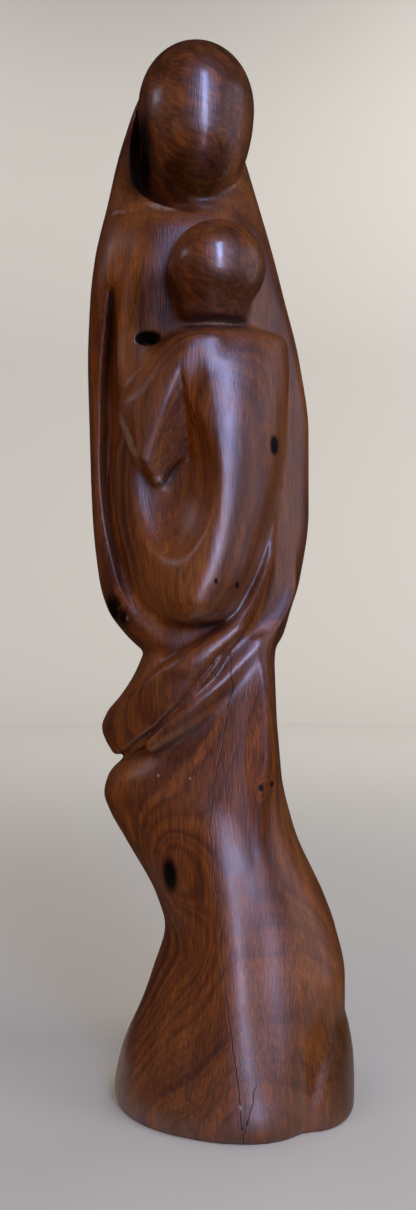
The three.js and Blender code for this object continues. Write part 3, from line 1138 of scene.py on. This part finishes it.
@dataclass
class Patterns:
    """A material's node tree, with patterns that lie at drawn places on the object."""

    tree: bpy.types.NodeTree
    drawing: Drawing
    mm: Socket = field(init=False)

    def __post_init__(self) -> None:
        """Turns Object coordinates into millimetres."""
        place = self.add("TexCoord", output="Object")
        self.mm = self.add("VectorMath", (place, (1 / MM,) * 3), operation="MULTIPLY")

    def add(
        self, kind: str, inputs: tuple | dict = (), output: str = "", **settings: object
    ) -> Socket | None:
        """Adds a node with its settings and links.

        Args:
            kind: the shader node's type.
            inputs: a socket to link or a plain value for each input, by name or in order.
            output: the output's name, where it isn't the first one in use.
            settings: the node's own properties.

        Returns:
            The node's output.
        """
        node = self.tree.nodes.new(f"ShaderNode{kind}")
        for name, value in settings.items():
            setattr(node, name, value)
        if isinstance(inputs, dict):
            pairs = [(node.inputs[name], value) for name, value in inputs.items()]
        else:
            pairs = list(zip([socket for socket in node.inputs if socket.enabled], inputs))
        for socket, value in pairs:
            if isinstance(value, Socket):
                self.tree.links.new(value, socket)
            else:
                socket.default_value = value
        in_use = [socket for socket in node.outputs if socket.enabled]
        return node.outputs[output] if output else next(iter(in_use), None)

    def noise(self, size: Point, detail: float = 2.0, lean: float = 0.0) -> Socket:
        """Noise whose grains have a size in millimetres.

        Args:
            size: the grains' size along X, Y and Z.
            detail: how many finer layers it has.
            lean: how far the grains lean, in degrees.

        Returns:
            The noise.
        """
        turn = {"Vector": self.mm, "Angle": math.radians(lean)}
        place = self.add("VectorRotate", turn, rotation_type="Y_AXIS") if lean else self.mm
        shrink = tuple(1 / length for length in size)
        place = self.add("VectorMath", (place, shrink), operation="MULTIPLY")
        return self.add("TexNoise", {"Vector": place, "Scale": 1.0, "Detail": detail})

    def spots(self, spots: tuple[Spot, ...], edge: Pair) -> Socket:
        """A mask that is 1 in the middle of each spot and fades out at its edge.

        Args:
            spots: the spots.
            edge: where the fading starts and ends, as shares of a spot's size.

        Returns:
            The mask.
        """
        mask = None
        for spot in spots:
            centre = tuple(self.drawing.to_frame(np.array(spot.centre)) / MM)
            offset = self.add("VectorMath", (self.mm, centre), operation="SUBTRACT")
            turn = {"Vector": offset, "Angle": math.radians(spot.lean)}
            turned = self.add("VectorRotate", turn, rotation_type="Y_AXIS")
            shrink = tuple(1 / size for size in spot.half_size)
            scaled = self.add("VectorMath", (turned, shrink), operation="MULTIPLY")
            away = self.add("VectorMath", (scaled,), operation="LENGTH")
            one = self.add("MapRange", (away, *edge, 1.0, 0.0), **SMOOTH)
            mask = one if mask is None else self.add("Math", (mask, one), operation="MAXIMUM")
        return mask


@dataclass(frozen=True)
class HardwoodFinish:
    """Dense red-brown tropical hardwood, carved, sanded and oiled, then polished with wax.

    The oil gives deep colour with dark growth layers, and the wax a soft gloss over the fibre.
    Sizes are in millimetres. A fade holds two levels of a pattern, then what they become.
    """

    dark: str = "5d2d13"
    middle: str = "84481a"
    light: str = "a8662a"
    # The near-black stain colour marks knots, cracks and stains, and also paints shade in the gaps
    # beside the heads.
    stain_and_shade: str = "0b0605"
    # The pale worn colour is wear. It also paints a reflection on the chest's left edge, a
    # highlight under the mother's chin and a sheen below the arm's tip.
    worn_and_sheen: str = "b09680"
    # Light and dark layers come in bands about 7 mm wide, with finer layers inside them.
    ring_spacing: float = 7.0
    ring_detail: float = 4.0
    ring_roughness: float = 0.62
    pith_at: Pair = (-14.0, 92.0)
    warp_size: Point = (55.0, 55.0, 137.5)
    warp_depth: float = 16.0
    flare_fade: Fade = (-20.0, 95.0, 1.0, 0.0)
    flare_depth: float = 24.0
    layer_fade: Fade = (0.34, 0.62, 0.0, 1.0)
    patch_size: Point = (42.0, 42.0, 126.0)
    patch_fade: Fade = (0.46, 0.68, 0.0, 0.5)
    streak_size: Point = (4.5, 4.5, 80.0)
    streak_fade: Fade = (0.35, 0.66, 0.84, 1.12)
    # Pores are 0.1 to 0.3 mm wide. They are drawn 0.7 mm wide, and 1.5 mm wide where the
    # grain curls over the heads, so that they show.
    fibre_size: Point = (0.7, 0.7, 14.0)
    curl_size: Point = (1.5, 1.5, 7.0)
    curl_lean: float = 62.0
    fibre_fade: Fade = (0.3, 0.72, 0.6, 1.38)
    mottle_size: Point = (7.0, 7.0, 14.0)
    mottle_fade: Fade = (0.36, 0.62, 0.72, 1.12)
    pale_patch_grain_size: Point = (1.6, 1.6, 1.6)
    pale_patch_grain_fade: Fade = (0.36, 0.6, 0.25, 0.85)
    # Painted shade: the colour drops to 0.45 in the dull spots.
    painted_shade_fade: Fade = (0.0, 1.0, 1.0, 0.45)
    foot_fade: Fade = (5.0, 85.0, 0.72, 1.0)
    # Painted shade and grime in hollows: the colour drops to 0.65 where the hollow pattern is deep.
    grime_and_shade_fade: Fade = (0.4, 1.0, 1.0, 0.65)
    roughness_fade: Fade = (0.0, 0.8, 0.4, 0.6)
    specular_fade: Fade = (0.0, 1.0, 0.5, 0.12)
    coat_fade: Fade = (0.0, 1.0, 0.95, 0.12)
    pore_coat_fade: Fade = (0.34, 0.62, 1.0, 0.6)
    wax_size: Point = (7.0, 7.0, 17.5)
    wax_fade: Fade = (0.38, 0.6, 0.62, 1.0)
    coat_roughness_fade: Fade = (0.0, 1.0, 0.31, 0.17)
    ior: float = 1.5
    # A drying crack is about 0.2 mm wide. It is drawn 0.6 mm wide, so that it shows.
    crack_fade: Fade = (0.064, 0.32, 0.85, 0.0)
    crack_wander: float = 2.4
    crack_wander_size: Point = (5.0, 5.0, 9.0)
    crack_relief: float = 1.4
    relief_strength: float = 0.35
    relief_height: float = 0.5
    # Where a spot starts and ends to fade, as shares of its size.
    stain_and_shade_edge: Pair = (0.5, 1.15)
    wear_and_sheen_edge: Pair = (0.4, 1.2)
    curl_edge: Pair = (0.75, 1.05)
    shade_and_dull_edge: Pair = (0.4, 1.1)
    matt_edge: Pair = (0.5, 1.2)
    pale_streak_edge: Pair = (0.2, 1.1)
    knot_flow_edge: Pair = (0.0, 1.0)
    knot_flow_shares: Point = (1.0, 3.0, 1.6)
    knot_push: float = 0.8
    knots: tuple[Spot, ...] = (
        Spot((-23.2, -36, 109), (4.2, 30, 10.8), 4),
        Spot((23.5, -38, 302), (2.5, 30, 5.4)),
        Spot((17.5, -40, 150), (1.4, 30, 1.9)),
        Spot((22.5, -38, 151), (1.2, 30, 1.5)),
        Spot((-2.5, -50, 241.4), (0.9, 15, 1.5)),
        Spot((7, -48, 239.6), (1.3, 15, 1.9)),
    )
    knot_reach: tuple[float, ...] = (26.0, 10.0, 5.0, 5.0, 4.0, 4.0)
    # Pale spots: a line under the child's jaw; wear chips at the foot, on the skirt, on the child's
    # head and in the knot hole; a painted reflection in two long spots on the chest's left edge; a
    # painted highlight under the mother's chin; and scratched wood with a painted sheen below the
    # arm's tip.
    wear_and_sheen: tuple[Spot, ...] = (
        Spot((-1, -36, 357.3), (15, 14, 1.1)),
        Spot((8.1, -52, 15.8), (0.8, 15, 1.4), 20),
        Spot((-28.4, -28, 154), (0.9, 15, 0.8)),
        Spot((-13.9, -32, 153.5), (0.7, 15, 0.7)),
        Spot((4.8, -50, 383.5), (0.7, 12, 0.8)),
        Spot((-27, -32, 285), (5, 12, 2.2), -40),
        Spot((-47.4, -34, 338), (2.2, 14, 26), -2),
        Spot((-42, -36, 306), (1.9, 14, 19), 22),
        Spot((-47.5, -24, 229.5), (3, 14, 0.9), 35),
        Spot((-43, -26, 225), (0.8, 14, 2.2)),
        Spot((-27, -26, 413.5), (8, 20, 2.6), -14),
    )
    # The first two darken the knot hole, and the third blackens the pocket at the child's neck. The
    # last two are painted shade in the gaps left of the mother's head and left of the child's head.
    stains_and_shade: tuple[Spot, ...] = (
        Spot((-52, -14, 228), (7, 14, 9)),
        Spot((-47, -24, 225), (6.5, 16, 8), 25),
        Spot((-33, -26, 351), (7, 14, 4)),
        Spot((-36, -8, 442), (6, 22, 26), -8),
        Spot((-26, -62, 361), (6.5, 40, 11), -12),
    )
    curls: tuple[Spot, ...] = (
        Spot((-11.5, -10, 458), (38, 40, 52)),
        Spot((-1, -33, 378), (27, 28, 30)),
    )
    # Painted shade: these spots darken the colour and take off the wax in four places. Under the
    # mother's chin they also stand for darker end grain. The others lie on the train, left of the
    # child's head and left of the mother's head.
    shade_and_dull: tuple[Spot, ...] = (
        Spot((-13, -33, 423), (27, 30, 17)),
        Spot((56, -20, 22), (17, 44, 34)),
        Spot((-28, -30, 363), (17, 22, 26)),
        Spot((-40, -20, 438), (16, 26, 24)),
    )
    matt: tuple[Spot, ...] = (
        Spot((-19, -40, 308), (13, 16, 29), -20),
        Spot((-55.5, -24, 314), (5, 30, 66)),
        Spot((-48.5, -28, 254), (5, 30, 36), 12),
        Spot((18, -38, 165), (9, 15, 50)),
        Spot((43, -36, 28), (9, 18, 24)),
        Spot((-56, -12, 350), (9, 20, 40)),
        Spot((18, -33, 236), (6, 26, 25), -22),
        Spot((-10, -34, 433), (22, 24, 12)),
        Spot((-46, -24, 374), (13, 26, 27)),
    )
    pale_streaks: tuple[Spot, ...] = (
        Spot((31, -25, 146), (5, 40, 46), -6),
        Spot((-33, -30, 345), (9, 20, 34), 2),
    )

    def build(self, drawing: Drawing) -> bpy.types.Material:
        """Makes the material.

        Args:
            drawing: where drawn places lie in the frame.

        Returns:
            The material.
        """
        material = bpy.data.materials.new("oiled_tropical_hardwood")
        material.use_nodes = True
        material.node_tree.nodes.clear()
        wood = Patterns(material.node_tree, drawing)
        # The hollow pattern darkens the colour as painted shade and grime, and roughens the base.
        hollow = wood.add("Attribute", output="Fac", attribute_name="hollow")
        height = wood.add("SeparateXYZ", (wood.mm,), output="Z")
        fibre = wood.noise(self.fibre_size, detail=3)
        crack = self.crack(wood)
        heads = wood.spots(self.curls, self.curl_edge)
        shade_and_dull = wood.spots(self.shade_and_dull, self.shade_and_dull_edge)
        spots = wood.spots(self.knots + self.stains_and_shade, self.stain_and_shade_edge)
        # Knots, cracks and stains, with painted shade in the gaps beside the heads.
        marks_and_shade = wood.add("Math", (spots, crack), operation="MAXIMUM")
        colour = self.colour(wood, fibre, heads)
        # Painted shade: the colour is darkened in the dull spots and in hollows, where it also
        # stands for grime. It also grows darker towards the foot.
        fades = ((shade_and_dull, self.painted_shade_fade), (height, self.foot_fade), (hollow, self.grime_and_shade_fade))
        for pattern, fade in fades:
            shade = wood.add("MapRange", (pattern, *fade), **SMOOTH)
            colour = wood.add("VectorMath", (colour, shade), operation="MULTIPLY")
        # Pale wear, a painted reflection and painted highlights, broken up by fine noise.
        pale_patch_grain = wood.add("MapRange", (wood.noise(self.pale_patch_grain_size), *self.pale_patch_grain_fade), **SMOOTH)
        wear_and_sheen = wood.spots(self.wear_and_sheen, self.wear_and_sheen_edge)
        wear_and_sheen = wood.add("Math", (wear_and_sheen, pale_patch_grain), operation="MULTIPLY")
        for mask, paint in ((marks_and_shade, self.stain_and_shade), (wear_and_sheen, self.worn_and_sheen)):
            colour = wood.add("Mix", (mask, colour, linear(paint)), data_type="RGBA")
        matt = wood.spots(self.matt, self.matt_edge)
        for mask in (shade_and_dull, marks_and_shade):
            matt = wood.add("Math", (matt, mask), operation="MAXIMUM")
        relief = wood.add("Math", (crack, -self.crack_relief, fibre), operation="MULTIPLY_ADD")
        bump = {
            "Height": relief,
            "Strength": self.relief_strength,
            "Distance": self.relief_height * MM,
        }
        roughness = wood.add("MapRange", (hollow, *self.roughness_fade), **SMOOTH)
        specular = wood.add("MapRange", (matt, *self.specular_fade), **SMOOTH)
        coat_roughness = wood.add("MapRange", (heads, *self.coat_roughness_fade), **SMOOTH)
        looks = {
            "Base Color": colour,
            "Roughness": roughness,
            "Normal": wood.add("Bump", bump),
            "IOR": self.ior,
            "Specular IOR Level": specular,
            "Coat Weight": self.coat(wood, fibre, matt),
            "Coat Roughness": coat_roughness,
            "Coat IOR": self.ior,
        }
        wood.add("OutputMaterial", (wood.add("BsdfPrincipled", looks),))
        return material

    def coat(self, wood: Patterns, fibre: Socket, matt: Socket) -> Socket:
        """How much wax lies on the wood, less in its pores and where it is matt.

        Args:
            wood: the material's patterns.
            fibre: the fine fibre noise.
            matt: a mask of the matt places.

        Returns:
            The weight of the coat.
        """
        coat = wood.add("MapRange", (matt, *self.coat_fade), **SMOOTH)
        wax = wood.noise(self.wax_size)
        for pattern, fade in ((fibre, self.pore_coat_fade), (wax, self.wax_fade)):
            share = wood.add("MapRange", (pattern, *fade), **SMOOTH)
            coat = wood.add("Math", (coat, share), operation="MULTIPLY")
        return coat

    def crack(self, wood: Patterns) -> Socket:
        """A mask of the hairline cracks, from how far each place lies beside one.

        Args:
            wood: the material's patterns.

        Returns:
            The mask.
        """
        beside = wood.add("Attribute", output="Fac", attribute_name="crack")
        wander = wood.noise(self.crack_wander_size)
        beside = wood.add("Math", (wander, self.crack_wander, beside), operation="MULTIPLY_ADD")
        middle = wood.add("Math", (beside, self.crack_wander / 2), operation="SUBTRACT")
        away = wood.add("Math", (middle,), operation="ABSOLUTE")
        return wood.add("MapRange", (away, *self.crack_fade), **SMOOTH)

    def rings(self, wood: Patterns) -> Socket:
        """Growth layers round a pith behind the figure, flaring at the foot and round knots.

        Args:
            wood: the material's patterns.

        Returns:
            The layers, from dark to light.
        """
        from_pith = wood.add("VectorMath", (wood.mm, (*self.pith_at, 0.0)), operation="SUBTRACT")
        level = wood.add("VectorMath", (from_pith, (1.0, 1.0, 0.0)), operation="MULTIPLY")
        radius = wood.add("VectorMath", (level,), operation="LENGTH")
        height = wood.add("SeparateXYZ", (wood.mm,), output="Z")
        foot = wood.add("MapRange", (height, *self.flare_fade), **SMOOTH)
        drift = wood.noise(self.warp_size, detail=1)
        pushes = [(drift, self.warp_depth), (foot, self.flare_depth)]
        for knot, reach in zip(self.knots, self.knot_reach):
            size = tuple(reach * share for share in self.knot_flow_shares)
            mask = wood.spots((Spot(knot.centre, size, knot.lean),), self.knot_flow_edge)
            pushes.append((mask, self.knot_push * reach))
        for pattern, push in pushes:
            radius = wood.add("Math", (pattern, push, radius), operation="MULTIPLY_ADD")
        count = wood.add("Math", (radius, 1 / self.ring_spacing), operation="MULTIPLY")
        layers = {
            "W": count,
            "Scale": 1.0,
            "Detail": self.ring_detail,
            "Roughness": self.ring_roughness,
        }
        return wood.add("TexNoise", layers, noise_dimensions="1D")

    def colour(self, wood: Patterns, fibre: Socket, heads: Socket) -> Socket:
        """The wood's colour from its layers, patches, pale streaks, fibre and curly figure.

        Args:
            wood: the material's patterns.
            fibre: the fine fibre noise.
            heads: a mask of the two heads, whose grain is curly.

        Returns:
            The colour.
        """
        rings = self.rings(wood)
        layer = wood.add("MapRange", (rings, *self.layer_fade), **SMOOTH)
        layer = wood.add("Mix", (heads, layer, rings))
        shades = (layer, linear(self.dark), linear(self.middle))
        colour = wood.add("Mix", shades, data_type="RGBA")
        patches = wood.noise(self.patch_size)
        broad = wood.add("MapRange", (patches, *self.patch_fade), **SMOOTH)
        streaks = wood.spots(self.pale_streaks, self.pale_streak_edge)
        streaks = wood.add("Math", (streaks, rings), operation="MULTIPLY")
        pale = wood.add("Math", (broad, streaks), operation="MAXIMUM")
        colour = wood.add("Mix", (pale, colour, linear(self.light)), data_type="RGBA")
        curl = wood.noise(self.curl_size, detail=3, lean=self.curl_lean)
        grain = wood.add("Mix", (heads, fibre, curl))
        mottle = wood.noise(self.mottle_size, lean=self.curl_lean)
        mottle = wood.add("MapRange", (mottle, *self.mottle_fade), **SMOOTH)
        tones = [wood.add("Mix", (heads, 1.0, mottle))]
        streaky = wood.noise(self.streak_size)
        for pattern, fade in ((grain, self.fibre_fade), (streaky, self.streak_fade)):
            tones.append(wood.add("MapRange", (pattern, *fade), **SMOOTH))
        for tone in tones:
            colour = wood.add("VectorMath", (colour, tone), operation="MULTIPLY")
        return colour


@dataclass(frozen=True)
class SoftBox:
    """One rectangular soft light."""

    name: str
    place: Point
    aim: Point
    size: Pair
    watts: float
    tint: str
    kind: Light = Light.BOTH

    def build(self) -> None:
        """Adds the light to the scene."""
        lamp = bpy.data.lights.new(self.name, "AREA")
        lamp.shape = "RECTANGLE"
        lamp.size, lamp.size_y = self.size
        lamp.energy = self.watts
        lamp.color = linear(self.tint)[:3]
        holder = bpy.data.objects.new(self.name, lamp)
        holder.location = self.place
        aim = Vector(self.aim) - Vector(self.place)
        holder.rotation_euler = aim.to_track_quat("-Z", "Y").to_euler()
        holder.visible_glossy = self.kind is not Light.LIGHTS
        holder.visible_diffuse = self.kind is not Light.REFLECTS
        holder.visible_camera = False
        bpy.context.scene.collection.objects.link(holder)


@dataclass(frozen=True)
class Studio:
    """A plain pale floor that sweeps up all round, soft lights, and the photograph's camera."""

    drawing: Drawing
    paper: str = "cfcdc9"
    paper_roughness: float = 0.9
    paper_specular: float = 0.1
    near_radius: float = 0.16
    flat_radius: float = 0.8
    floor_radius: float = 1.7
    bend_radius: float = 0.9
    bend_rows: int = 13
    wall_top: float = 2.2
    segments: int = 96
    camera_at: Point = (-5.95, -545.0, 231.0)
    focal_pixels: float = 1145.0
    frame_pixels: float = 1210.0
    sensor: float = 36.0
    nearest_seen: float = 0.01
    room: str = "e8e2da"
    room_strength: float = 0.02
    wash_tint: str = "fffaf4"
    wash_size: Pair = (1.4, 0.5)
    wash_radius: float = 1.1
    wash_height: float = 1.9
    wash_aim_radius: float = 2.6
    wash_aim_height: float = 0.7
    wash_watts: float = 42.5
    wash_lean: float = 11.9

    def build(self) -> None:
        """Makes the floor, the lights, the dim room and the camera."""
        bend = [
            (
                self.floor_radius + self.bend_radius * math.sin(angle),
                self.bend_radius * (1 - math.cos(angle)),
            )
            for angle in np.linspace(0, math.pi / 2, self.bend_rows)
        ]
        near = (self.near_radius, 0.0)
        floor = [near, (self.flat_radius, 0.0), bend[0]]
        wall = [*bend, (bend[-1][0], self.wall_top)]
        half, full = math.pi, 2 * math.pi
        paper = self.paper_material()
        self.sheet("pale_floor_near", [(0.0, 0.0), near], (0, full), paper)
        for name, profile, turn in (
            ("pale_floor", floor, (0, full)),
            ("pale_wall_behind", wall, (0, half)),
            ("pale_wall_in_front", wall, (half, full)),
        ):
            sheet = self.sheet(name, profile, turn, paper)
            sheet.visible_glossy = False
            sheet.visible_diffuse = False
        for light in self.windows() + self.wall_washes():
            light.build()
        world = bpy.data.worlds.new("dim_room")
        world.use_nodes = True
        background = world.node_tree.nodes["Background"]
        background.inputs["Color"].default_value = linear(self.room)
        background.inputs["Strength"].default_value = self.room_strength
        bpy.context.scene.world = world
        self.camera()

    def paper_material(self) -> bpy.types.Material:
        """Matt pale backdrop paper.

        Returns:
            The material.
        """
        material = bpy.data.materials.new("matt_backdrop_paper")
        material.use_nodes = True
        inputs = material.node_tree.nodes["Principled BSDF"].inputs
        inputs["Base Color"].default_value = linear(self.paper)
        inputs["Roughness"].default_value = self.paper_roughness
        inputs["Specular IOR Level"].default_value = self.paper_specular
        return material

    def sheet(
        self, name: str, profile: list[Pair], turn: Pair, paper: bpy.types.Material
    ) -> bpy.types.Object:
        """A sheet of paper turned round the middle of the floor.

        Args:
            name: its name.
            profile: its radius and height from the inside out.
            turn: the angles where it starts and ends.
            paper: its material.

        Returns:
            The sheet.
        """
        sheet = bmesh.new()
        spokes = []
        for angle in np.linspace(*turn, self.segments + 1):
            x, y = math.cos(angle), math.sin(angle)
            spokes.append([sheet.verts.new((radius * x, radius * y, z)) for radius, z in profile])
        for before, after in zip(spokes[:-1], spokes[1:]):
            for k in range(len(profile) - 1):
                sheet.faces.new((before[k], before[k + 1], after[k + 1], after[k]))
        bmesh.ops.remove_doubles(sheet, verts=sheet.verts, dist=1e-5)
        mesh = bpy.data.meshes.new(name)
        sheet.to_mesh(mesh)
        sheet.free()
        mesh.shade_smooth()
        mesh.materials.append(paper)
        piece = bpy.data.objects.new(name, mesh)
        bpy.context.scene.collection.objects.link(piece)
        LOG.info("%s: stage", name)
        return piece

    @staticmethod
    def windows() -> list[SoftBox]:
        """A narrow cool window in front, and soft light from both sides.

        Returns:
            The lights.
        """
        cool, soft, warm, lilac = "aabeff", "e2e6ff", "ffd8ac", "e6dcff"
        lights, reflects = Light.LIGHTS, Light.REFLECTS
        low, middle, high = (0, 0, 0.27), (0, 0, 0.26), (0, 0, 0.75)
        return [
            SoftBox("high_window", (0.32, -0.98, 0.92), high, (0.2, 0.8), 4.4, cool),
            SoftBox("high_sheen", (0.32, -0.98, 0.97), high, (0.2, 0.7), 8.5, cool, reflects),
            SoftBox("low_window", (0.32, -0.98, 0.27), low, (0.2, 0.42), 0.7, cool),
            SoftBox("low_sheen", (0.32, -0.98, 0.31), low, (0.2, 0.62), 5.9, "c0caff", reflects),
            SoftBox("low_panel", (0.87, -0.68, 0.28), low, (0.9, 0.45), 0.45, soft, lights),
            SoftBox("side_panel", (0.95, -0.35, 0.5), middle, (0.5, 0.5), 1.4, soft, lights),
            SoftBox("right_fill", (0.98, -0.57, 0.57), middle, (0.8, 0.8), 2.6, "fff4ec", lights),
            SoftBox("left_fill", (-0.8, -0.9, 0.35), middle, (0.8, 0.5), 3.4, warm, lights),
            SoftBox("left_panel", (-1.0, 0.45, 0.3), middle, (0.5, 0.5), 0.5, soft, lights),
            SoftBox("left_lamp", (-1.12, -0.12, 0.86), middle, (0.42, 0.16), 0.75, soft, reflects),
            SoftBox("right_sheen", (1.05, -0.1, 0.45), middle, (0.9, 1.2), 2.6, lilac, reflects),
        ]

    def wall_washes(self) -> list[SoftBox]:
        """Four lights on the wall, stronger to the right.

        Returns:
            The lights.
        """
        washes = []
        for number in range(4):
            angle = math.pi * (number / 2 + 0.25)
            x, y = math.cos(angle), math.sin(angle)
            place = (self.wash_radius * x, self.wash_radius * y, self.wash_height)
            aim = (self.wash_aim_radius * x, self.wash_aim_radius * y, self.wash_aim_height)
            watts = self.wash_watts + self.wash_lean * x
            name = f"wall_wash_{number}"
            washes.append(
                SoftBox(name, place, aim, self.wash_size, watts, self.wash_tint, Light.LIGHTS)
            )
        return washes

    def camera(self) -> None:
        """The photograph's camera: level, close to the figure, at half its height."""
        lens = bpy.data.cameras.new("photograph_view")
        lens.sensor_width = self.sensor
        lens.lens = self.sensor * self.focal_pixels / self.frame_pixels
        lens.clip_start = self.nearest_seen
        holder = bpy.data.objects.new("photograph_view", lens)
        holder.location = self.drawing.to_frame(np.array(self.camera_at))
        holder.rotation_euler = (math.pi / 2, 0, 0)
        bpy.context.scene.collection.objects.link(holder)
        bpy.context.scene.camera = holder


def main() -> None:
    logging.basicConfig(level=logging.INFO, format="%(name)s: %(message)s")
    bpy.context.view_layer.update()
    drawing = Drawing()
    bpy.context.scene.view_settings.view_transform = "Standard"
    figure = Figure(drawing, Drapery(), Child()).build()
    figure.data.materials.append(HardwoodFinish().build(drawing))
    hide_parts(NODE)
    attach(figure, "root")
    Studio(drawing).build()


if __name__ == "__main__":
    main()
